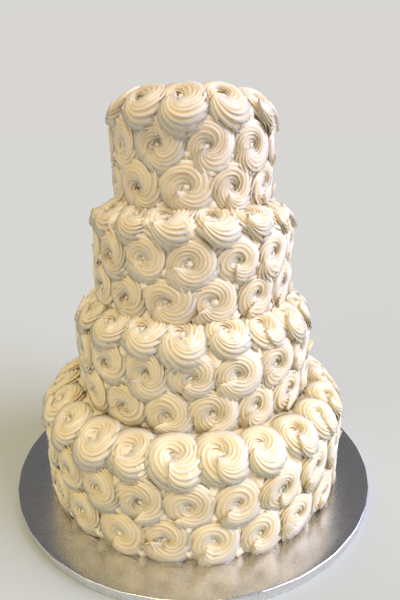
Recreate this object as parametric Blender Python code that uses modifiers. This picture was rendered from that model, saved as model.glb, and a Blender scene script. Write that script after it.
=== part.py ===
"""A four-tier wedding cake, piped all over with buttercream rosettes, on its round foil-covered board.

Frame: metres, +Z up. The origin is the centre of the board's underside, and the front looks along -Y.
Every tier is a plain iced cake with three belts of rosettes: one at its foot, one above it, and one that
wraps over its top edge. Neighbouring rosettes of a belt run into each other, so a belt is one closed solid.
"""

import math
import random

import bmesh
import bpy

# Driving sizes
INCH = 0.0254
BOARD_RADIUS = 9 * INCH
BOARD_THICKNESS = 0.5 * INCH
BOARD_EDGE_ROUNDING = 0.0012
BOARD_SEGMENTS = 72
GAP = 0.0003  # clearance between pieces that rest on or touch each other

# A tier: iced radius, height from shelf to shelf, rosettes in each belt, and the azimuth in degrees of
# one rosette of the middle belt, counted from the front towards +X. The tiers go from the bottom up.
TIERS = [
    {"radius": 0.1740, "height": 0.117, "rosettes": 23, "turn": -1.5, "belts": (0.028, 0.073)},
    {"radius": 0.1285, "height": 0.110, "rosettes": 18, "turn": -1.5, "belts": (0.029, 0.070)},
    {"radius": 0.1030, "height": 0.110, "rosettes": 15, "turn": -1.3, "belts": (0.029, 0.070)},
    {"radius": 0.0770, "height": 0.110, "rosettes": 11, "turn": 10.3, "belts": (0.029, 0.070)},
]
CHAMFER = 0.010  # the tier's top edge is cut back this far both ways
NORMAL_BLEND = 0.008  # the outward direction starts to turn this far before the chamfer
BELT_WAVE = 0.007  # a belt's edge swings this far up and down round the rosettes

# A rosette: how far its parts stand out from the icing, and where its rings lie between centre and edge
CENTRE_LIFT = 0.0030
INNER_RING = {"share": 0.40, "ridge": 0.0115, "groove": 0.0070}
OUTER_RING = {"share": 0.72, "ridge": 0.0140, "groove": 0.0115}
JOIN_LIFT = 0.0065  # where two rosettes of a belt run into each other
ROSETTE_DEPTH = OUTER_RING["ridge"]

# Piped by hand: the eye of a rosette lies up to this far off the middle of its place, and its rings stand
# out up to this share less than their full lift
EYE_SHIFT = 0.0022
LIFT_LOSS = 0.14
HAND_SEED = 7

# The flat top of the top tier: one rosette in the middle and a ring of them round it
TOP_CENTRE_RADIUS = 0.0170
TOP_RING_RADIUS = 0.0210
TOP_RING_CENTRES = 0.0358
TOP_RING_COUNT = 5
TOP_RIM_REACH = 0.0552  # the rim belt of the top tier reaches in to this radius
TOP_RIM_REACH_BETWEEN = 0.0580

CORNERS = ("foot", "low_right", "high_right", "head", "high_left", "low_left")

# Colours and finishes, linear RGB
BUTTERCREAM = {"name": "buttercream", "colour": (0.87, 0.76, 0.56), "roughness": 0.45, "metallic": 0.0}
BASE_ICING = {"name": "base_icing", "colour": (0.80, 0.66, 0.45), "roughness": 0.55, "metallic": 0.0}
SILVER_FOIL = {"name": "silver_foil", "colour": (0.75, 0.75, 0.76), "roughness": 0.25, "metallic": 1.0}


def remove_all_objects():
    for obj in list(bpy.data.objects):
        bpy.data.objects.remove(obj, do_unlink=True)


def material(finish):
    """A Principled material, made once for each finish."""
    made = bpy.data.materials.get(finish["name"])
    if made is None:
        made = bpy.data.materials.new(finish["name"])
        made.use_nodes = True
        shader = made.node_tree.nodes["Principled BSDF"]
        shader.inputs["Base Color"].default_value = (*finish["colour"], 1.0)
        shader.inputs["Roughness"].default_value = finish["roughness"]
        shader.inputs["Metallic"].default_value = finish["metallic"]
    return made


def add_object(name, mesh, finish, collection):
    obj = bpy.data.objects.new(name, mesh)
    mesh.materials.append(material(finish))
    collection.objects.link(obj)
    return obj


def on_circle(radius, azimuth, z):
    """The point at this radius and height, with the azimuth in radians from the front towards +X."""
    return (radius * math.sin(azimuth), -radius * math.cos(azimuth), z)


class Tier:
    """The iced cake of one tier, and the path up its side, over its chamfer and in along its top."""

    def __init__(self, sizes, floor):
        self.radius = sizes["radius"]
        self.floor = floor + GAP
        self.top = floor + sizes["height"]
        self.count = sizes["rosettes"]
        self.turn = math.radians(sizes["turn"])
        self.belts = sizes["belts"]
        self.wall_end = self.top - self.floor - CHAMFER
        self.chamfer_end = self.wall_end + CHAMFER * math.sqrt(2)
        self.rim_centre = (self.wall_end + self.chamfer_end) / 2

    def path_to_radius(self, radius):
        """How far along the path the flat top has narrowed to this radius."""
        return self.chamfer_end + self.radius - CHAMFER - radius

    def outward(self, along):
        """The angle above the horizon in which a rosette stands out, turning smoothly over the edge."""
        start = self.wall_end - NORMAL_BLEND
        end = self.chamfer_end + NORMAL_BLEND
        share = min(1.0, max(0.0, (along - start) / (end - start)))
        return share * math.pi / 2

    def surface(self, along):
        """Radius and height of the icing this far along the path."""
        if along <= self.wall_end:
            return self.radius, self.floor + along
        if along <= self.chamfer_end:
            back = (along - self.wall_end) / math.sqrt(2)
            return self.radius - back, self.top - CHAMFER + back
        return self.radius - CHAMFER - (along - self.chamfer_end), self.top

    def point(self, azimuth, along, lift):
        """The point that stands out by lift from the icing."""
        radius, z = self.surface(along)
        angle = self.outward(along)
        return on_circle(radius + lift * math.cos(angle), azimuth, z + lift * math.sin(angle))

    def clear_point(self, azimuth, along):
        """The point that keeps the gap to the icing, square to whichever face it is on."""
        radius, z = self.surface(along)
        if along < self.wall_end:
            return on_circle(radius + GAP, azimuth, z)
        return on_circle(radius, azimuth, z + GAP)

    def clear_corners(self, azimuth):
        """The two points that keep the gap to the chamfer's lower and upper edge."""
        slip = GAP * math.tan(math.pi / 8)
        low = on_circle(self.radius + GAP, azimuth, self.top - CHAMFER + slip)
        high = on_circle(self.radius - CHAMFER + slip, azimuth, self.top + GAP)
        return low, high


def cake_mesh(tier):
    """The iced cake: a turned profile, with one step for each half pitch of its rosettes."""
    mesh = bpy.data.meshes.new("cake_profile")
    profile = [
        (0.0, 0.0, tier.top),
        (tier.radius - CHAMFER, 0.0, tier.top),
        (tier.radius, 0.0, tier.top - CHAMFER),
        (tier.radius, 0.0, tier.floor),
        (0.0, 0.0, tier.floor),
    ]
    edges = [(i, i + 1) for i in range(len(profile) - 1)]
    mesh.from_pydata(profile, edges, [])
    return mesh


def make_cake(name, tier, collection):
    obj = add_object(name, cake_mesh(tier), BASE_ICING, collection)
    obj.rotation_euler.z = tier.turn - math.pi / 2
    screw = obj.modifiers.new("turn", "SCREW")
    screw.steps = screw.render_steps = 2 * tier.count
    screw.use_merge_vertices = True
    screw.merge_threshold = 0.00005
    return obj


def between(a, b, share):
    return tuple(x + share * (y - x) for x, y in zip(a, b))


def swirl_faces(bm, centre, inner, outer, edge):
    """The top of one rosette: a fan round its centre, then two bands between its rings, all twisted one way.
    The edge is a dictionary of its corners, with the points where it joins its neighbours."""
    count = len(inner)
    for i in range(count):
        k = (i + 1) % count
        bm.faces.new((centre, inner[i], inner[k]))
        bm.faces.new((inner[i], outer[i], outer[k]))
        bm.faces.new((inner[i], outer[k], inner[k]))
        here, there = edge[CORNERS[i]], edge[CORNERS[k]]
        join = edge.get((CORNERS[i], CORNERS[k]))
        if join is None:
            bm.faces.new((outer[i], here, there))
            bm.faces.new((outer[i], there, outer[k]))
        else:
            bm.faces.new((outer[i], here, join))
            bm.faces.new((outer[i], join, outer[k]))
            bm.faces.new((outer[k], join, there))


def ring_points(centre, corners, ring, turned, lift_share):
    """One ring of a rosette between its centre and its corners, in azimuth and path, with ridges and grooves
    by turns. A turned ring lies between the corners, so that the ridges run out in a swirl."""
    count = len(corners)
    points = []
    for i in range(count):
        corner = corners[i]
        if turned:
            corner = between(corner, corners[(i + 1) % count], 0.5)
        where = between(centre, corner, ring["share"])
        lift = ring["ridge"] if i % 2 else ring["groove"]
        points.append((*where, lift * lift_share))
    return points


def both_rings(centre, corners, hand):
    """The inner ring, turned, and the outer ring of one rosette, as tall as the hand made it."""
    lift_share = 1 - LIFT_LOSS * hand.random()
    return [
        ring_points(centre, corners, INNER_RING, True, lift_share),
        ring_points(centre, corners, OUTER_RING, False, lift_share),
    ]


class Belt:
    """One belt of rosettes: the path of its centres, and its lower and upper edge under a rosette's centre
    and between two rosettes."""

    def __init__(self, tier, centre, low, high, offset):
        self.tier = tier
        self.centre = centre
        self.low, self.low_between = low
        self.high, self.high_between = high
        self.offset = offset

    def azimuth(self, half_pitches):
        """Azimuth of a point this many half pitches on from the belt's first rosette."""
        return self.tier.turn + (self.offset + half_pitches) * math.pi / self.tier.count

    def corners(self, half_pitches):
        """Azimuth and path of a rosette's six corners, foot first, then anticlockwise."""
        mid = self.azimuth(half_pitches)
        left, right = self.azimuth(half_pitches - 1), self.azimuth(half_pitches + 1)
        return [
            (mid, self.low),
            (right, self.low_between),
            (right, self.high_between),
            (mid, self.high),
            (left, self.high_between),
            (left, self.low_between),
        ]

    def edge_loops(self, bm):
        """The belt's lower and upper edge, one vertex for each half pitch, close to the icing."""
        tier = self.tier
        steps = range(2 * tier.count)
        low = [self.low_between if i % 2 else self.low for i in steps]
        high = [self.high_between if i % 2 else self.high for i in steps]
        foot = [bm.verts.new(tier.clear_point(self.azimuth(i), low[i])) for i in steps]
        head = [bm.verts.new(tier.clear_point(self.azimuth(i), high[i])) for i in steps]
        return foot, head

    def inner_loops(self, bm, foot, head):
        """The loops of the inner wall, which goes round the chamfer when the belt does."""
        if self.high < self.tier.wall_end:
            return [foot, head]
        steps = range(2 * self.tier.count)
        corners = [self.tier.clear_corners(self.azimuth(i)) for i in steps]
        low = [bm.verts.new(c[0]) for c in corners]
        high = [bm.verts.new(c[1]) for c in corners]
        return [foot, low, high, head]

    def eye(self, half_pitches, hand):
        """Azimuth and path of a rosette's centre, a little off its middle."""
        aside = EYE_SHIFT * (2 * hand.random() - 1) / self.tier.radius
        up = EYE_SHIFT * (2 * hand.random() - 1)
        return self.azimuth(half_pitches) + aside, self.centre + up

    def mesh(self, name, hand):
        """The closed solid: the swirls outside, and a wall that keeps the gap to the icing inside."""
        tier = self.tier
        bm = bmesh.new()
        foot, head = self.edge_loops(bm)
        turns = 2 * tier.count
        joins = [
            bm.verts.new(tier.point(self.azimuth(2 * i + 1), self.centre, JOIN_LIFT)) for i in range(tier.count)
        ]
        for i in range(tier.count):
            here, left, right = 2 * i, (2 * i - 1) % turns, (2 * i + 1) % turns
            edge = {
                "foot": foot[here],
                "low_right": foot[right],
                "high_right": head[right],
                "head": head[here],
                "high_left": head[left],
                "low_left": foot[left],
                ("low_right", "high_right"): joins[i],
                ("high_left", "low_left"): joins[i - 1],
            }
            eye = self.eye(here, hand)
            rings = [
                [bm.verts.new(tier.point(*p)) for p in ring]
                for ring in both_rings(eye, self.corners(here), hand)
            ]
            centre = bm.verts.new(tier.point(*eye, CENTRE_LIFT))
            swirl_faces(bm, centre, *rings, edge)
        loops = self.inner_loops(bm, foot, head)
        for below, above in zip(loops, loops[1:]):
            for i in range(turns):
                k = (i + 1) % turns
                bm.faces.new((below[i], above[i], above[k], below[k]))
        return closed_mesh(name, bm)


def closed_mesh(name, bm):
    bmesh.ops.recalc_face_normals(bm, faces=bm.faces)
    mesh = bpy.data.meshes.new(name)
    bm.to_mesh(mesh)
    bm.free()
    return mesh


def tier_belts(tier, inner_radius, inner_radius_between):
    """The three belts of a tier, from its foot to its top edge. The rim belt reaches in to inner_radius."""
    foot_centre, middle_centre = tier.belts
    first = (foot_centre + middle_centre) / 2
    second = (middle_centre + tier.rim_centre) / 2
    top, top_between = tier.path_to_radius(inner_radius), tier.path_to_radius(inner_radius_between)
    half_gap = GAP / 2
    return {
        "foot": Belt(
            tier,
            foot_centre,
            (GAP, GAP),
            (first + BELT_WAVE - half_gap, first - BELT_WAVE - half_gap),
            1,
        ),
        "middle": Belt(
            tier,
            middle_centre,
            (first - BELT_WAVE + half_gap, first + BELT_WAVE + half_gap),
            (second + BELT_WAVE - half_gap, second - BELT_WAVE - half_gap),
            0,
        ),
        "rim": Belt(
            tier,
            tier.rim_centre,
            (second - BELT_WAVE + half_gap, second + BELT_WAVE + half_gap),
            (top, top_between),
            1,
        ),
    }


def top_rosette_mesh(name, radius, distance, azimuth, floor, hand):
    """A rosette of its own on the flat top: the same swirl inside a six-sided foot."""
    bm = bmesh.new()
    middle_x, middle_y, _ = on_circle(distance, azimuth, 0.0)

    def lifted(point):
        x, y, lift = point
        return bm.verts.new((middle_x + x, middle_y + y, floor + lift))

    corners = [on_circle(radius, azimuth + (i + 0.5) * math.pi / 3, 0.0)[:2] for i in range(len(CORNERS))]
    edge_ring = [lifted((*c, 0.0)) for c in corners]
    rings = [[lifted(p) for p in ring] for ring in both_rings((0.0, 0.0), corners, hand)]
    swirl_faces(bm, lifted((0.0, 0.0, CENTRE_LIFT)), *rings, dict(zip(CORNERS, edge_ring)))
    bm.faces.new(edge_ring)
    return closed_mesh(name, bm)


def make_board(collection):
    """The board: a flat disc whose edges are rounded, as the foil is folded over them."""
    bpy.ops.mesh.primitive_cylinder_add(
        vertices=BOARD_SEGMENTS,
        radius=BOARD_RADIUS,
        depth=BOARD_THICKNESS,
        location=(0.0, 0.0, BOARD_THICKNESS / 2),
    )
    board = bpy.context.object
    board.name = "cake_board"
    board.data.materials.append(material(SILVER_FOIL))
    for owner in list(board.users_collection):
        owner.objects.unlink(board)
    collection.objects.link(board)
    bevel = board.modifiers.new("folded edges", "BEVEL")
    bevel.width = BOARD_EDGE_ROUNDING
    bevel.segments = 1
    bevel.limit_method = "ANGLE"
    return board


def make_tiers(hand, collection):
    floor = BOARD_THICKNESS
    for number, sizes in enumerate(TIERS, start=1):
        tier = Tier(sizes, floor)
        make_cake(f"tier_{number}_cake", tier, collection)
        if number < len(TIERS):
            reach = TIERS[number]["radius"] + ROSETTE_DEPTH + 2 * GAP
            belts = tier_belts(tier, reach, reach)
        else:
            belts = tier_belts(tier, TOP_RIM_REACH, TOP_RIM_REACH_BETWEEN)
        for place, belt in belts.items():
            name = f"tier_{number}_{place}_rosettes"
            add_object(name, belt.mesh(name, hand), BUTTERCREAM, collection)
        floor += sizes["height"]
    return floor


def make_top_rosettes(floor, hand, collection):
    places = [(TOP_CENTRE_RADIUS, 0.0, 0.0)]
    for i in range(TOP_RING_COUNT):
        places.append((TOP_RING_RADIUS, TOP_RING_CENTRES, i * 2 * math.pi / TOP_RING_COUNT))
    for number, (radius, distance, azimuth) in enumerate(places, start=1):
        name = f"top_rosette_{number}"
        mesh = top_rosette_mesh(name, radius, distance, azimuth, floor + GAP, hand)
        add_object(name, mesh, BUTTERCREAM, collection)


def main():
    remove_all_objects()
    collection = bpy.data.collections.new("tiered wedding cake")
    bpy.context.scene.collection.children.link(collection)
    hand = random.Random(HAND_SEED)
    make_board(collection)
    top = make_tiers(hand, collection)
    make_top_rosettes(top, hand, collection)


main()
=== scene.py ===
"""Looks of the four-tier wedding cake: piped buttercream rosettes over a coat of icing, on a foil board.

Every rosette is one strand of buttercream from a star nozzle. The hand moves clockwise from the eye outwards,
and the nozzle turns with it only in part, so each of its teeth draws nearly the same path, shifted by the
tooth's place on the nozzle. That is why the ridges of a real rosette cross the strand from its outer to its
inner side, like the blades of a turbine. They fan out where the strand ends.
"""

import math
from collections import namedtuple
import bpy
import numpy as np
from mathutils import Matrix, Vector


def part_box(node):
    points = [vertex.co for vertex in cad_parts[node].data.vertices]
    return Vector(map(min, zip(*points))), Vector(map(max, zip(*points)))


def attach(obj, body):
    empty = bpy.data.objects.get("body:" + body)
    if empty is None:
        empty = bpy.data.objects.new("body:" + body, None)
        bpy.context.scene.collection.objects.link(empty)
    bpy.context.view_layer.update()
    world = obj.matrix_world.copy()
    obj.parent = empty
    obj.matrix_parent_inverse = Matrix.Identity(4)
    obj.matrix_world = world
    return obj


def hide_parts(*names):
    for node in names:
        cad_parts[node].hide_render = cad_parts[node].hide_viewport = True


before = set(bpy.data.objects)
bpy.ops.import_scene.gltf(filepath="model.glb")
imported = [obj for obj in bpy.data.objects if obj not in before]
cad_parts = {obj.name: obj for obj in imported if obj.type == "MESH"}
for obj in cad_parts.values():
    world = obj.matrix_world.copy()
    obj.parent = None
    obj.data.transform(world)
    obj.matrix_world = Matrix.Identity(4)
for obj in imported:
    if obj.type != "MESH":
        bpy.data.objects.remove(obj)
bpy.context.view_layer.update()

MM = 0.001
FULL_TURN = 2 * math.pi

# The tiers from the bottom up, as in the solids: rosettes in each row, azimuth in degrees of one rosette of
# the middle row, and the heights of the eyes of the two rows on the side above the tier's foot
TIERS = [
    {"count": 23, "turn": -1.5, "foot": 26 * MM, "middle": 71 * MM},
    {"count": 18, "turn": -1.5, "foot": 28 * MM, "middle": 70 * MM},
    {"count": 15, "turn": -1.3, "foot": 30 * MM, "middle": 71 * MM},
    {"count": 11, "turn": 10.8, "foot": 29 * MM, "middle": 70 * MM},
]
CORNER = 18 * MM  # radius of each tier's rounded top edge
# The rosettes on each rim lie in planes: turn past the foot row and tilt of the plane in degrees, how far
# the plane's middle lies inside the tier's side and under its top, and the rosettes' size
RIMS = [
    {"turn": 2.2, "tilt": 56, "inside": 12.0 * MM, "under": 9.5 * MM, "size": 0.98},
    {"turn": -13.0, "tilt": 58, "inside": 12.5 * MM, "under": 9.0 * MM, "size": 0.96},
    {"turn": 0.0, "tilt": 59, "inside": 12.0 * MM, "under": 8.5 * MM, "size": 0.95},
    {"turn": -3.0, "tilt": 50, "inside": 9.5 * MM, "under": 6.5 * MM, "size": 0.97},
]
RIM_LIFT = 3.0 * MM  # a rim rosette stands this much further out of its plane
RIM_BEND = 60 * MM  # radius by which it bends over the edge, up and down
RIM_CURVE = 1.25  # radius by which it bends round the tier, in parts of the tier's radius
SKIRT = 12.0 * MM  # its lower side reaches back this much further
RIM_PETALS, SIDE_PETALS = 4.5 * MM, 2.4 * MM  # the teeth reach out by this at a rosette's lower edge
TOP_SIZE = 0.88  # size of the rosettes on the flat top
# Places across a side are measured at the middle of the rosettes' height, and never too near the axis
ROSETTE_MIDDLE, LEAST_RADIUS = 8 * MM, 12 * MM
# A rosette sits up to this far off its place in the row: across, in parts of the pitch, and up
OFF_ACROSS, OFF_UP = 0.06, 2.2 * MM

# The strand's path, clockwise round the eye
TURNS = 1.45
PATH_RADIUS = 16.3 * MM  # the radius that the spiral closes in on
SPIRAL_OPENS = 0.30  # turns over which it opens out
SPIRAL_WIDENS = 0.05  # part of the radius that it gains evenly from end to end
END_ANGLE = math.radians(230)  # where the strand ends, clockwise from straight up
PATH_WAVES = ((0.04, 2), (0.02, 3))  # the hand's wobble: depth in parts of the radius, and waves a turn
# Its section
STRAND_HALF_WIDTH = 14.8 * MM
STRAND_HALF_HEIGHT = 8.0 * MM
STRAND_MIDDLE = 6.4 * MM  # height of the strand's middle over the icing, on the outer turn
START_SIZE, START_MIDDLE = 0.72, 0.75  # size of the strand in the eye, and height of its middle, as parts
GROWING_TURN, GROWING_POWER = 0.7, 0.7  # it grows over this part of a turn, by this power of it
FLATNESS = 0.70  # power of the cosine of its dome: 1 is an ellipse, and less is flatter
SUNK = -3.0 * MM  # the underside is pressed this far into the icing
PRESSURE_WAVES = ((0.03, 3.1), (0.015, 7.3))  # depth in parts of the strand's size, and waves a turn
# Its ridges, one from each tooth of the nozzle
TEETH = 15
TOOTH_STEPS = (0.0, 0.24, 0.76)  # the points on each tooth, in parts of its pitch
TOOTH_WAVES = ((0.12, 1), (0.07, 3))  # uneven pitch of the teeth: depth in radians, and waves a turn
RIDGE_DEPTH = 0.33  # depth of the grooves, in parts of the half width and half height
WORN_TOOTH = 0.09  # the most that a ridge is lower than the others, in the same parts
NOZZLE_FOLLOWS = 0.58  # part of the path's turn that the nozzle makes too
FAN = 0.6  # further turn of the nozzle over the last part of the strand, in radians
FAN_TURN = 0.4  # part of a turn that the fan takes
# Its end, which thins out to a lip
LIP_TURN = 0.24  # part of a turn over which it thins out
NOSE_PARTS = 5  # its tip is rounded off over one part in this many of the lip
BLUNT_LIP, LEAST_WIDTH = 0.30, 0.03  # width left near the tip and at it, as parts of the whole
THIN_LIP, THIN_NOSE = 0.35, 0.3  # height left near the tip, and the part of it left at the tip
LIP_TAPER, THINNING = 0.75, 0.8  # powers by which it narrows and thins out
LIP_PULL = -0.30  # the tip is pulled outwards by this part of the half width, so mostly inwards
TIP_LIFT = 5.0 * MM  # the most that a tip is drawn up off the cake
LEAST_PEAK = 0.15  # every tip is drawn up by at least this part of it
# How it lies on the cake
EYE_EDGE = 8  # power by which its inner side stops at the eye: higher is more sudden
PETALS_FROM = 0.3  # petals begin where the cosine of the angle from straight up is below this
LEANS_FROM = 10 * MM  # points at this lift and over lean in full
SKIRT_FROM = 20 * MM  # the skirt is full this far below the eye
SKIRT_MOST = 1.3  # and this much more than full at most, on points that are pressed into the icing

# How uneven the piping is: what a rosette may differ by either way, as a part of the value or as said
UNEVEN = {
    "turns": 0.06,
    "end": 0.7,  # radians
    "radius": 0.04,
    "width": 0.03,
    "height": 0.05,
    "lip": 0.45,
    "blunt": 0.15,  # added
    "taper": 0.25,  # added
    "pull": 0.60,  # added
    "follow": 0.16,  # added
    "fan": 0.4,
    "size": 0.045,
    "length": 0.04,
    "lean": 0.05,  # slope
    "dab radius": 0.12,
    "dab height": 0.15,
    "dab twist": 0.4,  # radians
}
ANY_PHASE = 3.1  # radians either way
RIDGE_STRENGTH = (0.7, 1.3)  # each ridge's own depth, as parts of the whole depth

# The dab in each rosette's eye, and the dabs that fill the gaps beside it, across and up from its eye
HEART_RADIUS, HEART_HEIGHT = 9.2 * MM, 10.4 * MM
FILLER_RADIUS, FILLER_HEIGHT = 12.5 * MM, 11.0 * MM
SIDE_FILLERS = ((24 * MM, 15 * MM), (0.0, 30 * MM))
FOOT_FILLERS = ((24 * MM, 15 * MM), (0.0, 30 * MM), (24 * MM, -17 * MM))
DAB_WAVES, DAB_WAVE_DEPTH = 6, 0.20  # a dab's own star: its points, and their depth in parts of the radius
DAB_TWIST = 1.6  # radians by which the star turns from its foot to its top
DAB_TIP = 1.6 * MM  # height of its pointed tip over the last ring
DAB_OFF, DAB_LEAN = 0.8 * MM, 1.2 * MM  # how far it may sit off its place, and its top off its foot

# The coat of icing between the rosettes
COAT_LIFT = 6.0 * MM  # its height over the solid cake
COAT_STEPS, COAT_AROUND = (14, 10, 16), 160  # points up the wall, round its edge and in along its top
KNIFE_WAVES = ((5, 40), (9, -90), (14, 150))  # waves of a palette knife: round the tier, and radians a metre
KNIFE_DEPTH = 0.3 * MM
KNIFE_FADES = (5 * MM, 20 * MM)  # the waves fade out over this much at the foot and near the axis

# The foil board: radii of its edges, the small puckers of its folded foil and the longer kinks of its edge
BOARD_TOP_ROUND, BOARD_LOW_ROUND = 1.6 * MM, 1.2 * MM
BOARD_AROUND = 720
PUCKER_WAVES, PUCKER_DEPTH = (47, 83, 131, 173), 0.35 * MM
PUCKERED_EDGE = 2 * MM  # how far in from the edge the puckers reach
KINK_WAVES, KINK_DEPTH = 17, 0.5 * MM
KINKED_EDGE = 0.1  # how far in the kinks reach, in parts of the radius

PIPING_SEED, FOIL_SEED = 20, 31


class TierPath:
    """The way up a tier's side, round its top edge and in along its top, by the distance along it."""

    def __init__(self, node):
        low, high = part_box(node)
        self.radius = min(high.x - low.x, high.y - low.y) / 2
        self.foot = low.z
        self.top = high.z
        self.wall_end = self.top - self.foot - CORNER
        self.arc_end = self.wall_end + CORNER * math.pi / 2

    def turned(self, along):
        """How far the path has turned in from straight up, in radians."""
        return np.clip((along - self.wall_end) / CORNER, 0.0, math.pi / 2)

    def surface(self, along):
        """Radius and height of the cake: straight up, then a quarter circle, then straight in."""
        turned = self.turned(along)
        radius = self.radius - CORNER * (1 - np.cos(turned)) - np.maximum(along - self.arc_end, 0.0)
        height = self.foot + np.minimum(along, self.wall_end) + CORNER * np.sin(turned)
        return radius, height

    def points(self, azimuth, across, along, lift):
        """Points that lie across and along from an azimuth on this path, lifted square off the cake."""
        radius, height = self.surface(along)
        turned = self.turned(along)
        angle = azimuth + across / np.maximum(radius + ROSETTE_MIDDLE * np.cos(turned), LEAST_RADIUS)
        out = radius + lift * np.cos(turned)
        return np.stack([out * np.sin(angle), -out * np.cos(angle), height + lift * np.sin(turned)], axis=-1)

    def rim_points(self, azimuth, across, up, lift, rim):
        """Points across and up in the tilted plane of a rim rosette, bent back each way by a parabola."""
        tilt = math.radians(rim["tilt"])
        across, up = across * rim["size"], up * rim["size"]
        lift = lift + RIM_LIFT - up ** 2 / (2 * RIM_BEND)
        out = self.radius - rim["inside"] + lift * math.cos(tilt) - up * math.sin(tilt)
        out = out - across ** 2 / (2 * RIM_CURVE * self.radius)
        height = self.top - rim["under"] + lift * math.sin(tilt) + up * math.cos(tilt)
        x = out * np.sin(azimuth) + across * np.cos(azimuth)
        y = -out * np.cos(azimuth) + across * np.sin(azimuth)
        return np.stack([x, y, height], axis=-1)


def new_mesh(name, vertices, faces):
    """A smooth mesh from points and arrays of faces, each array with its own number of corners."""
    mesh = bpy.data.meshes.new(name)
    mesh.vertices.add(len(vertices))
    mesh.vertices.foreach_set("co", np.asarray(vertices, np.float32).ravel())
    corners = np.concatenate([f.ravel() for f in faces])
    sizes = np.concatenate([np.full(len(f), f.shape[1]) for f in faces])
    mesh.loops.add(len(corners))
    mesh.loops.foreach_set("vertex_index", corners.astype(np.int32))
    mesh.polygons.add(len(sizes))
    mesh.polygons.foreach_set("loop_start", np.concatenate([[0], np.cumsum(sizes)[:-1]]).astype(np.int32))
    mesh.update(calc_edges=True)
    mesh.validate()
    mesh.shade_smooth()
    return mesh


def add_attribute(mesh, name, values):
    attribute = mesh.attributes.new(name, "FLOAT", "POINT")
    attribute.data.foreach_set("value", np.asarray(values, np.float32).ravel())


def add_piece(name, mesh, material, slot, *nodes):
    """A piece of the cake that stands for the solids it is named with."""
    piece = bpy.data.objects.new(name, mesh)
    bpy.context.scene.collection.objects.link(piece)
    mesh.materials.append(material)
    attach(piece, "root")
    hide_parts(*nodes)


def tube_faces(strands, steps, around):
    """Faces of many closed tubes: quads between the rings, and a fan from each end ring to its pole."""
    ring = np.arange(around)
    after = np.roll(ring, -1)
    quad = np.stack([after, ring, ring + around, after + around], axis=1)
    rows = np.arange(steps - 1)[:, None, None] * around
    tube = (quad[None] + rows).reshape(-1, 4)
    size = steps * around + 2
    first_pole, last_pole = size - 2, size - 1
    last_ring = (steps - 1) * around + ring
    fans = np.concatenate([
        np.stack([np.full(around, first_pole), ring, after], axis=1),
        np.stack([np.full(around, last_pole), np.roll(last_ring, -1), last_ring], axis=1),
    ])
    offset = np.arange(strands)[:, None, None] * size
    return (tube[None] + offset).reshape(-1, 4), (fans[None] + offset).reshape(-1, 3)


def turned_mesh(name, rings, first_height, last_height):
    """A closed solid of revolution from its rings of points, which run down its outside, with a pole on the
    axis at either end."""
    steps, around = rings.shape[:2]
    vertices = np.concatenate([rings.reshape(-1, 3), [[0, 0, first_height], [0, 0, last_height]]])
    return new_mesh(name, vertices, tube_faces(1, steps, around))


def azimuths_round(count):
    """Evenly spaced azimuths once round, as one row."""
    return (np.arange(count) * FULL_TURN / count)[None, :]


# Piped buttercream


# Flat strands or dabs: x, y, lift and ridge as arrays over strand and point, each strand's two poles last,
# and how many rings a strand has and how many points a ring
Piping = namedtuple("Piping", "x y lift ridge steps around")


def close_ends(values, first=None, last=None):
    """Each strand's points in one row, then its poles: the means of its end rings if not given."""
    first = values[:, 0].mean(axis=1)[:, None] if first is None else first
    last = values[:, -1].mean(axis=1)[:, None] if last is None else last
    return np.concatenate([values.reshape(len(values), -1), first, last], axis=1)


def each_its_own(hand, count):
    """A function that draws one value for each rosette, up to a spread either way from a middle."""

    def vary(spread, middle=1.0):
        return middle + spread * hand.uniform(-1, 1, (count, 1, 1))

    return vary


def add_waves(base, angle, waves, vary):
    """The base plus a sine of the angle for each depth and number of waves, each with its own phase."""
    for depth, times in waves:
        base = base + depth * np.sin(times * angle + vary(ANY_PHASE, 0.0))
    return base


def strand_steps():
    """Places along the strand from 0 to 1, closer together where it thins out to its lip."""
    return np.concatenate([np.linspace(0.0, 0.80, 27, endpoint=False), np.linspace(0.80, 1.0, 12)])


def nozzle_points():
    """Angles of the points round the nozzle's rim."""
    tooth = (np.arange(TEETH)[:, None] + np.array(TOOTH_STEPS)[None, :]).ravel()
    return tooth * FULL_TURN / TEETH


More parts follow.
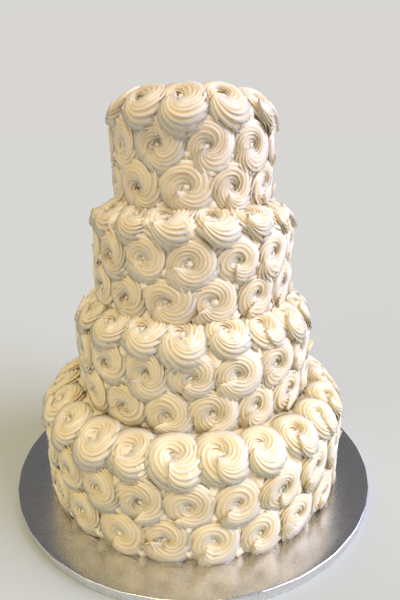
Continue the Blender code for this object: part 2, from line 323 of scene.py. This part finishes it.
class Rosettes:
    """Many flat rosettes, each of one ridged strand, as arrays over rosette, step along the strand and point
    round the nozzle. The methods run in this order, and each draws its own part of the unevenness."""

    def __init__(self, hand, count, skirt, petals):
        self.hand, self.count = hand, count
        self.vary = each_its_own(hand, count)
        self.step = strand_steps()[None, :, None]
        self.nozzle = nozzle_points()[None, None, :]
        self.wind()
        self.press()
        self.thin_out()
        self.cut_ridges()
        self.lay_round(petals)
        self.settle(skirt)

    def per_tooth(self, low, high):
        """One draw for each tooth of each rosette, the same on all the points of that tooth."""
        return self.hand.uniform(low, high, (self.count, 1, TEETH)).repeat(len(TOOTH_STEPS), axis=2)

    def wind(self):
        """The hand's path, clockwise from the eye: radius = R (1 - exp(-turns gone / opening turns)), a
        little wider towards its end, and with a wobble of sines of the angle."""
        turns = TURNS * self.vary(UNEVEN["turns"])
        self.end_angle = END_ANGLE + self.vary(UNEVEN["end"], 0.0)
        self.gone, self.left = self.step * turns, (1 - self.step) * turns
        self.angle = self.end_angle - self.left * FULL_TURN
        radius = PATH_RADIUS * self.vary(UNEVEN["radius"]) * (1 - np.exp(-self.gone / SPIRAL_OPENS))
        radius = radius * (1 - SPIRAL_WIDENS + SPIRAL_WIDENS * self.step)
        self.radius = radius * add_waves(1.0, self.angle, PATH_WAVES, self.vary)

    def press(self):
        """The strand's size: it grows out of the eye by a power of the turns gone, and swells and shrinks a
        little in waves as the bag is pressed."""
        grown = np.clip(self.gone / GROWING_TURN, 0, 1) ** GROWING_POWER
        pressure = add_waves(1.0, self.angle, PRESSURE_WAVES, self.vary)
        full = (START_SIZE + (1 - START_SIZE) * grown) * pressure
        self.half_width = STRAND_HALF_WIDTH * full * self.vary(UNEVEN["width"])
        self.half_height = STRAND_HALF_HEIGHT * full * self.vary(UNEVEN["height"])
        self.middle = STRAND_MIDDLE * (START_MIDDLE + (1 - START_MIDDLE) * grown)

    def thin_out(self):
        """The lip at the strand's end. It narrows by powers of the way left, and thins out from below, so
        that its top stays up. Its tip is rounded off, pulled to one side and drawn up off the cake."""
        lip = np.clip(self.left / (LIP_TURN * self.vary(UNEVEN["lip"])), 0, 1)
        nose = np.clip(NOSE_PARTS * lip, 0, 1) ** 0.5
        blunt = self.vary(UNEVEN["blunt"], BLUNT_LIP)
        taper = (1 - (1 - lip) ** 2) ** self.vary(UNEVEN["taper"], LIP_TAPER)
        self.narrow = np.maximum((blunt + (1 - blunt) * taper) * nose, LEAST_WIDTH)
        thin = (THIN_LIP + (1 - THIN_LIP) * lip ** THINNING) * (THIN_NOSE + (1 - THIN_NOSE) * nose)
        pull = LIP_PULL + self.vary(UNEVEN["pull"], 0.0)
        self.radius = self.radius + pull * self.half_width * (1 - self.narrow)
        self.middle = self.middle + self.half_height * (1 - thin)
        peak = self.hand.uniform(0, 1, (self.count, 1, 1)) ** 2
        self.middle = self.middle + TIP_LIFT * (LEAST_PEAK + (1 - LEAST_PEAK) * peak) * (1 - lip) ** 4
        self.half_width, self.half_height = self.half_width * self.narrow, self.half_height * thin

    def cut_ridges(self):
        """The nozzle's rim at angle a is 1 - depth (1 - (1 - |sin(teeth a / 2)|)^2), less a little where a
        tooth is worn: thin, sharp teeth and wide, flat grooves. The nozzle turns by only a part of the path's
        own turn, and turns further over the last part of the strand, where the ridges fan out."""
        follow = self.vary(UNEVEN["follow"], NOZZLE_FOLLOWS)
        strength = RIDGE_DEPTH * self.per_tooth(*RIDGE_STRENGTH)
        self.groove = 1 - (1 - np.abs(np.sin(self.nozzle * TEETH / 2))) ** 2
        worn = WORN_TOOTH * self.per_tooth(0, 1) ** 2
        self.rim = 1 - worn - strength * self.groove
        pitch = add_waves(0.0, self.nozzle, TOOTH_WAVES, self.vary)
        turn = self.nozzle + pitch + self.hand.uniform(0, FULL_TURN, (self.count, 1, 1))
        turn = turn + follow * (self.angle - self.end_angle)
        turn = turn - FAN * self.vary(UNEVEN["fan"]) * (1 - np.clip(self.left / FAN_TURN, 0, 1)) ** 2
        self.turned = turn - self.angle + math.pi / 2

    def lay_round(self, petals):
        """Each section stands across the path: a point of the nozzle's rim lies sin(t) of the half width
        outside it, and cos(t), flattened by a power, of the half height over the strand's middle, where t is
        the angle from the side that trails the hand. The inner side is held back softly at the eye, and at
        the rosette's lower edge the teeth reach out as petals."""
        over = np.cos(self.turned)
        beside = self.half_width * self.rim * np.sin(self.turned)
        above = self.half_height * self.rim * np.sign(over) * np.abs(over) ** FLATNESS
        inward = np.maximum(-beside, 1e-6)
        room = np.maximum(self.radius, 0.1 * MM)
        held = inward * (1 + (inward / room) ** EYE_EDGE) ** (-1 / EYE_EDGE)
        reach = self.radius + np.where(beside < 0, -held, beside)
        outer = np.clip(np.sin(self.turned), 0, 1) ** 4 * (1 - self.groove)
        downwards = np.clip(PETALS_FROM - np.cos(self.angle), 0, 1)
        reach = reach + petals * self.narrow * outer * downwards
        self.x, self.y = reach * np.sin(self.angle), reach * np.cos(self.angle)
        self.lift = np.maximum(self.middle + above, SUNK)

    def settle(self, skirt):
        """Each rosette as a whole: larger or smaller, longer one way than the other, higher or lower, and
        leaning. The skirt takes the underside of its lower half further back."""
        size, longer = self.vary(UNEVEN["size"]), self.vary(UNEVEN["length"], 0.0)
        self.x, self.y = size * self.x * (1 - longer), size * self.y * (1 + longer)
        leaning_up, height = self.vary(UNEVEN["lean"], 0.0), self.vary(UNEVEN["height"])
        leaning = leaning_up * self.y + self.vary(UNEVEN["lean"], 0.0) * self.x
        self.lift = self.lift * height + np.clip(self.lift / LEANS_FROM, 0, 1) * leaning
        low_side = np.clip(-self.y / SKIRT_FROM, 0, 1)
        underside = np.clip(1 - self.lift / STRAND_MIDDLE, 0, SKIRT_MOST)
        self.lift = self.lift - skirt * low_side * underside

    def piping(self):
        # ridge: 1 on the crests, which the material paints with a highlight, and 0 in the grooves, which it
        # paints with shade
        ridge = np.broadcast_to(1 - self.groove, self.x.shape)
        arrays = [close_ends(values) for values in (self.x, self.y, self.lift, ridge)]
        return Piping(*arrays, self.step.size, self.nozzle.size)


def dabs(hand, count, radius, height, across, up):
    """A small twisted dome beside each rosette's eye or in it: the dab its strand starts with, or the scraps
    in the gaps between rosettes. Its radius is r sqrt(1 - v^2) times a star of six waves that turns with the
    height v, and its top leans aside and ends in a tip."""
    rings = np.sin(np.linspace(0.0, math.pi / 2, 7)[:-1])[None, :, None]
    around = azimuths_round(3 * DAB_WAVES)[None]
    vary = each_its_own(hand, count)
    spread = radius * vary(UNEVEN["dab radius"]) * np.sqrt(1 - rings ** 2)
    spread = spread * (1 + DAB_WAVE_DEPTH * np.cos(DAB_WAVES * around))
    twisted = around + vary(UNEVEN["dab twist"], DAB_TWIST) * rings + vary(ANY_PHASE, 0.0)
    x = across + spread * np.sin(twisted) + vary(DAB_OFF, 0.0) + vary(DAB_LEAN, 0.0) * rings
    y = up + spread * np.cos(twisted) + vary(DAB_OFF, 0.0) + vary(DAB_LEAN, 0.0) * rings
    lift = SUNK + (height * vary(UNEVEN["dab height"]) - SUNK) * rings + 0 * x
    # ridge on a dab: its star points and its tip take the painted highlight, its hollows and its foot the
    # painted shade
    ridge = np.broadcast_to(0.5 + 0.5 * np.cos(DAB_WAVES * around), x.shape)
    tip = (lift[:, -1].max(axis=1) + DAB_TIP)[:, None]
    return Piping(
        close_ends(x),
        close_ends(y),
        close_ends(lift, np.full((count, 1), SUNK), tip),
        close_ends(ridge, np.zeros((count, 1)), np.ones((count, 1))),
        rings.size,
        around.size,
    )


def piped_mesh(name, hand, count, place, fillers=(), skirt=0.0, petals=SIDE_PETALS):
    """One mesh of many rosettes: their strands, the dabs in their eyes and the dabs beside them, set on the
    cake by a function of x, y and lift. Its attribute ridge is 1 on a ridge and 0 in a groove, which the
    material turns into a painted highlight on the crests and painted shade in the grooves, and batch is one
    random value for each rosette."""
    parts = [Rosettes(hand, count, skirt, petals).piping()]
    parts.append(dabs(hand, count, HEART_RADIUS, HEART_HEIGHT, 0.0, 0.0))
    parts += [dabs(hand, count, FILLER_RADIUS, FILLER_HEIGHT, *filler) for filler in fillers]
    quads, fans, before = [], [], 0
    for part in parts:
        tube, ends = tube_faces(count, part.steps, part.around)
        quads.append(tube + before)
        fans.append(ends + before)
        before += part.x.size
    vertices = np.concatenate([place(part.x, part.y, part.lift).reshape(-1, 3) for part in parts])
    mesh = new_mesh(name, vertices, (np.concatenate(quads), np.concatenate(fans)))
    add_attribute(mesh, "ridge", np.concatenate([part.ridge.ravel() for part in parts]))
    batch = hand.uniform(0, 1, count)
    add_attribute(mesh, "batch", np.concatenate([np.repeat(batch, part.x.shape[1]) for part in parts]))
    return mesh


def rosette_row(name, count, azimuth, surface, hand, material, **edge):
    """One row of rosettes round a tier; the surface gives points from azimuths, x, y and lift."""
    places = azimuth + FULL_TURN / count * (np.arange(count) + OFF_ACROSS * hand.uniform(-1, 1, count))
    shifts = OFF_UP * hand.uniform(-1, 1, count)

    def place(x, y, lift):
        return surface(places[:, None], x, shifts[:, None] + y, lift)

    mesh = piped_mesh(f"piped_{name}", hand, count, place, **edge)
    add_piece(f"piped_{name}", mesh, material, "buttercream", name)


def top_rosettes(floor, hand, material):
    """The rosettes on the flat top: one in the middle and a ring round it, each where its solid lies."""
    nodes = sorted(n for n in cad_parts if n.startswith("top_rosette_"))
    corners = [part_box(n) for n in nodes]
    centres = np.array([[(low.x + high.x) / 2, (low.y + high.y) / 2] for low, high in corners])

    def place(x, y, lift):
        x, y = centres[:, :1] + TOP_SIZE * x, centres[:, 1:] + TOP_SIZE * y
        return np.stack([x, y, floor + TOP_SIZE * lift], axis=-1)

    mesh = piped_mesh("piped_top_rosettes", hand, len(nodes), place)
    add_piece("piped_top_rosettes", mesh, material, "buttercream", *nodes)


# The coat of icing and the board


def icing_coat(name, node, path, hand, material):
    """The smooth coat under the rosettes: the tier's path turned round its axis, with the faint waves of a
    palette knife, sum of a few sines in azimuth and height, which fade out at the foot and at the axis."""
    on_wall, on_edge, on_top = COAT_STEPS
    near_axis = path.arc_end + path.radius - CORNER - 1 * MM
    along = np.concatenate([
        np.linspace(0.0, path.wall_end, on_wall, endpoint=False),
        np.linspace(path.wall_end, path.arc_end, on_edge, endpoint=False),
        np.linspace(path.arc_end, near_axis, on_top),
    ])[:, None]
    azimuth = azimuths_round(COAT_AROUND)
    wave = 0.0
    for (around, up), phase in zip(KNIFE_WAVES, hand.uniform(0, FULL_TURN, len(KNIFE_WAVES))):
        wave = wave + np.sin(around * azimuth + phase + up * along)
    at_foot, at_axis = KNIFE_FADES
    fade = np.clip(along / at_foot, 0, 1) * np.clip((along[-1] - along) / at_axis, 0, 1)
    rings = path.points(azimuth, 0.0, along + 0 * azimuth, KNIFE_DEPTH * wave * fade + COAT_LIFT)
    mesh = turned_mesh(name, rings[::-1], path.top + COAT_LIFT, path.foot)
    add_piece(name, mesh, material, "base_icing", node)


def board_profile(radius, thickness):
    """Radius and height of the points of the board's section: from near the axis out over its top, round both
    edges and in underneath."""
    top, low = BOARD_TOP_ROUND, BOARD_LOW_ROUND
    quarter = np.linspace(0, math.pi / 2, 7)
    stretches = [
        (np.linspace(0.02, 0.96, 24) * radius, thickness),
        (radius - top + top * np.sin(quarter), thickness - top + top * np.cos(quarter)),
        (radius, np.linspace(thickness - top, low, 10)[1:-1]),
        (radius - low + low * np.cos(quarter), low - low * np.sin(quarter)),
        (np.linspace(0.96, 0.5, 4) * radius, 0.0),
    ]
    return np.concatenate([np.stack(np.broadcast_arrays(r, z), axis=1) for r, z in stretches])


def foil_board(material):
    """The board: a turned disc with rounded edges. Its lower edge is puckered where the foil is folded under:
    the radius there dips by a sum of sines in azimuth, and the dip fades out towards the top. Longer waves,
    up to half a millimetre deep, kink the whole edge."""
    low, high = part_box("cake_board")
    radius, thickness = high.x, high.z - low.z
    profile = board_profile(radius, thickness)
    r, z = profile[:, :1], profile[:, 1:]
    azimuth = azimuths_round(BOARD_AROUND)
    hand = np.random.default_rng(FOIL_SEED)
    pucker = sum(np.abs(np.sin(waves / 2 * azimuth + hand.uniform(0, math.pi))) for waves in PUCKER_WAVES)
    on_edge = np.clip((r - (radius - PUCKERED_EDGE)) / PUCKERED_EDGE, 0, 1)
    low_down = np.clip(1 - z / thickness, 0, 1) ** 1.3
    kink = np.abs(np.sin(KINK_WAVES * azimuth + 0.9 * np.sin(2 * azimuth) + 0.7 * np.sin(5 * azimuth)))
    near_edge = np.clip((r - (1 - KINKED_EDGE) * radius) / (KINKED_EDGE * radius), 0, 1)
    out = r - PUCKER_DEPTH * pucker * on_edge * low_down - KINK_DEPTH * kink * near_edge
    rings = np.stack([out * np.sin(azimuth), -out * np.cos(azimuth), z + 0 * azimuth], axis=-1)
    mesh = turned_mesh("foil_board", rings, thickness, 0)
    add_piece("foil_board", mesh, material, "silver_foil", "cake_board")


# Materials

WHITE = (1.0, 1.0, 1.0)
# Cream of the piping by its ridge attribute: the groove cream is painted shade, darker and warmer, the ridge
# cream a painted highlight, whiter, and the flank cream lies between
SHADED_GROOVE_CREAM, FLANK_CREAM, HIGHLIT_RIDGE_CREAM = (0.87, 0.71, 0.44), (0.93, 0.82, 0.60), (0.96, 0.91, 0.78)
DEEP_CREAM, COAT_CREAM = (0.88, 0.75, 0.50), (0.93, 0.82, 0.58)
DARK_FOIL, LIGHT_FOIL = (0.76, 0.75, 0.74), (0.84, 0.83, 0.81)
FLOOR_GREY = (0.494, 0.532, 0.517)


def grey(value):
    return (value, value, value)


def new_material(name):
    """A material, its node tree, its shader, and the place in metres that its patterns go by."""
    material = bpy.data.materials.new(name)
    material.use_nodes = True
    tree = material.node_tree
    place = tree.nodes.new("ShaderNodeTexCoord").outputs["Object"]
    return material, tree, tree.nodes["Principled BSDF"], place


def attribute(tree, name):
    node = tree.nodes.new("ShaderNodeAttribute")
    node.attribute_name = name
    return node.outputs["Fac"]


def noise(tree, place, scale, detail, roughness=0.5):
    node = tree.nodes.new("ShaderNodeTexNoise")
    node.inputs["Scale"].default_value = scale
    node.inputs["Detail"].default_value = detail
    node.inputs["Roughness"].default_value = roughness
    tree.links.new(place, node.inputs["Vector"])
    return node.outputs["Fac"]


def ramp(tree, value, *stops):
    """Colours by a value, from stops of place and colour."""
    node = tree.nodes.new("ShaderNodeValToRGB")
    elements = node.color_ramp.elements
    while len(elements) < len(stops):
        elements.new(0.5)
    for element, (place, colour) in zip(elements, stops):
        element.position = place
        element.color = (*colour, 1.0)
    tree.links.new(value, node.inputs["Fac"])
    return node.outputs["Color"]


def multiply(tree, colour, tint):
    node = tree.nodes.new("ShaderNodeMix")
    node.data_type = "RGBA"
    node.blend_type = "MULTIPLY"
    node.inputs["Factor"].default_value = 1.0
    tree.links.new(colour, node.inputs["A"])
    tree.links.new(tint, node.inputs["B"])
    return node.outputs["Result"]


def bump(tree, height, distance, strength, below=None):
    node = tree.nodes.new("ShaderNodeBump")
    node.inputs["Distance"].default_value = distance
    node.inputs["Strength"].default_value = strength
    tree.links.new(height, node.inputs["Height"])
    if below is not None:
        tree.links.new(below, node.inputs["Normal"])
    return node.outputs["Normal"]


def buttercream():
    """Piped buttercream: cream, satin, with a fine fatty grain. The grooves are painted a shade darker and
    warmer as painted shade, and the crests whiter as a painted highlight. The upper tiers are painted darker
    and pinker and the lower ones yellower, as painted shade for the light that falls more on the bottom
    tiers. Rosettes and patches on the cake differ slightly in tone."""
    material, tree, shader, place = new_material("piped_buttercream")
    # painted shade down in the grooves and a painted highlight on the crests
    stops = (0.0, SHADED_GROOVE_CREAM), (0.35, FLANK_CREAM), (0.9, HIGHLIT_RIDGE_CREAM)
    colour = ramp(tree, attribute(tree, "ridge"), *stops)
    batches = ramp(tree, attribute(tree, "batch"), (0.0, (0.97, 0.96, 0.93)), (1.0, WHITE))
    patches = ramp(tree, noise(tree, place, 26.0, 3.0), (0.3, (0.96, 0.95, 0.92)), (0.7, WHITE))
    apart = tree.nodes.new("ShaderNodeSeparateXYZ")
    tree.links.new(place, apart.inputs["Vector"])
    # painted shade by height: the lower tiers yellower and the upper ones darker and pinker, standing in for
    # the light that falls more on the bottom tiers
    heights = ramp(tree, apart.outputs["Z"], (0.13, (1.0, 0.99, 0.92)), (0.45, (0.97, 0.94, 0.94)))
    for tint in (batches, patches, heights):
        colour = multiply(tree, colour, tint)
    tree.links.new(colour, shader.inputs["Base Color"])
    smear = noise(tree, place, 160.0, 3.0)
    grain = bump(tree, noise(tree, place, 900.0, 2.0), 0.12 * MM, 0.6)
    tree.links.new(bump(tree, smear, 0.6 * MM, 0.5, grain), shader.inputs["Normal"])
    tree.links.new(ramp(tree, smear, (0.3, grey(0.34)), (0.7, grey(0.50))), shader.inputs["Roughness"])
    shader.inputs["Coat Weight"].default_value = 0.25
    shader.inputs["Coat Roughness"].default_value = 0.35
    shader.inputs["Subsurface Weight"].default_value = 0.12
    shader.inputs["Subsurface Radius"].default_value = (1.0, 0.75, 0.5)
    shader.inputs["Subsurface Scale"].default_value = 2 * MM
    return material


def base_icing():
    """The coat between the rosettes: the same buttercream, duller and deeper in tone."""
    material, tree, shader, place = new_material("coat_of_icing")
    cloud = noise(tree, place, 60.0, 4.0)
    tree.links.new(ramp(tree, cloud, (0.3, DEEP_CREAM), (0.7, COAT_CREAM)), shader.inputs["Base Color"])
    tree.links.new(bump(tree, cloud, 0.8 * MM, 0.5), shader.inputs["Normal"])
    shader.inputs["Roughness"].default_value = 0.6
    return material


def silver_foil():
    """Cake-board foil: silver, embossed with a fine irregular grain that softens what it mirrors."""
    material, tree, shader, place = new_material("embossed_silver_foil")
    grain = noise(tree, place, 700.0, 3.0, 0.6)
    waves = noise(tree, place, 90.0, 2.0)
    embossed = bump(tree, grain, 0.1 * MM, 0.35)
    tree.links.new(bump(tree, waves, 0.6 * MM, 0.12, embossed), shader.inputs["Normal"])
    tree.links.new(ramp(tree, grain, (0.3, grey(0.24)), (0.7, grey(0.34))), shader.inputs["Roughness"])
    tree.links.new(ramp(tree, waves, (0.3, DARK_FOIL), (0.7, LIGHT_FOIL)), shader.inputs["Base Color"])
    shader.inputs["Metallic"].default_value = 1.0
    return material


def pale_floor():
    """Matt floor, in the grey that meets the backdrop without a line."""
    material, _, shader, _ = new_material("studio_floor")
    shader.inputs["Base Color"].default_value = (*FLOOR_GREY, 1.0)
    shader.inputs["Roughness"].default_value = 1.0
    shader.inputs["Specular IOR Level"].default_value = 0.0
    return material


# Stage

# The lights: name, azimuth to the right of the camera, elevation and width of the source in degrees,
# strength, colour, and whether the foil mirrors it
LIGHTS = [
    ("window", 78, 30, 60, 4.5, (0.67, 0.69, 0.96), True),
    ("ceiling", -22, 64, 25, 1.06, (1.0, 0.88, 0.60), True),
    ("room", -50, 22, 40, 0.50, (1.0, 0.88, 0.62), True),
    ("behind", 195, 35, 40, 0.6, (1.0, 0.92, 0.78), False),
]
# The room's own faint light, the dim room that the foil mirrors, and the pale backdrop
ROOM_GLOW, MIRRORED_ROOM, BACKDROP = (0.42, 0.352, 0.27), (0.14, 0.14, 0.145), (0.68, 0.67, 0.65)
FLOOR_SIZE = 60.0

CAMERA_DISTANCE = 0.5814
CAMERA_HEIGHT = 0.4327
CAMERA_SIDE = 0.0035
CAMERA_PITCH = math.radians(18.79)
CAMERA_YAW = math.radians(-0.46)
CAMERA_LENS, CAMERA_SENSOR = 29.93, 36.0


def make_floor():
    bpy.ops.mesh.primitive_plane_add(size=FLOOR_SIZE, location=(0.0, 0.0, 0.0))
    floor = bpy.context.object
    floor.name = "studio_floor"
    floor.data.materials.append(pale_floor())


def make_sun(name, azimuth, elevation, width, strength, colour, mirrored):
    """A far, soft light."""
    light = bpy.data.lights.new(name, "SUN")
    light.energy = strength
    light.color = colour
    light.angle = math.radians(width)
    lamp = bpy.data.objects.new(name, light)
    lamp.rotation_euler = (math.radians(90 - elevation), 0.0, math.radians(azimuth))
    lamp.visible_glossy = mirrored
    bpy.context.scene.collection.objects.link(lamp)


def make_world():
    """Light all round, seen as one colour by the foil and as another by the camera."""
    world = bpy.data.worlds.new("studio")
    world.use_nodes = True
    nodes, links = world.node_tree.nodes, world.node_tree.links
    path = nodes.new("ShaderNodeLightPath")

    def background(colour):
        node = nodes.new("ShaderNodeBackground")
        node.inputs["Color"].default_value = (*colour, 1.0)
        return node.outputs["Background"]

    def either(ray, otherwise, when):
        node = nodes.new("ShaderNodeMixShader")
        links.new(path.outputs[ray], node.inputs["Fac"])
        links.new(otherwise, node.inputs[1])
        links.new(when, node.inputs[2])
        return node.outputs["Shader"]

    light = either("Is Glossy Ray", background(ROOM_GLOW), background(MIRRORED_ROOM))
    light = either("Is Camera Ray", light, background(BACKDROP))
    links.new(light, nodes["World Output"].inputs["Surface"])
    bpy.context.scene.world = world


def make_camera():
    camera = bpy.data.cameras.new("camera")
    camera.sensor_width = CAMERA_SENSOR
    camera.lens = CAMERA_LENS
    camera.clip_start = 0.01
    holder = bpy.data.objects.new("camera", camera)
    holder.location = (CAMERA_SIDE, -CAMERA_DISTANCE, CAMERA_HEIGHT)
    holder.rotation_euler = (math.pi / 2 - CAMERA_PITCH, 0.0, CAMERA_YAW)
    bpy.context.scene.collection.objects.link(holder)
    bpy.context.scene.camera = holder


def dress_tier(number, tier, rim, hand, cream, coat):
    """One tier's coat of icing and its three rows of rosettes. Returns the height of the tier's top."""
    path = TierPath(f"tier_{number}_cake")
    icing_coat(f"tier_{number}_icing", f"tier_{number}_cake", path, hand, coat)
    middle_azimuth = math.radians(tier["turn"])
    foot_azimuth = middle_azimuth + math.pi / tier["count"]
    rim_azimuth = foot_azimuth + math.radians(rim["turn"])

    def side(height):
        return lambda azimuths, x, y, lift: path.points(azimuths, x, height + y, lift)

    def edge(azimuths, x, y, lift):
        return path.rim_points(azimuths, x, y, lift, rim)

    rows = [
        ("foot", foot_azimuth, side(tier["foot"]), {"fillers": FOOT_FILLERS}),
        ("middle", middle_azimuth, side(tier["middle"]), {"fillers": SIDE_FILLERS}),
        ("rim", rim_azimuth, edge, {"skirt": SKIRT, "petals": RIM_PETALS}),
    ]
    for row, azimuth, surface, piped in rows:
        name = f"tier_{number}_{row}_rosettes"
        rosette_row(name, tier["count"], azimuth, surface, hand, cream, **piped)
    return path.top


def main():
    hand = np.random.default_rng(PIPING_SEED)
    cream, coat = buttercream(), base_icing()
    for number, (tier, rim) in enumerate(zip(TIERS, RIMS), start=1):
        top = dress_tier(number, tier, rim, hand, cream, coat)
    top_rosettes(top, hand, cream)
    foil_board(silver_foil())
    make_floor()
    make_world()
    for light in LIGHTS:
        make_sun(*light)
    bpy.context.scene.view_settings.view_transform = "Standard"
    make_camera()


main()
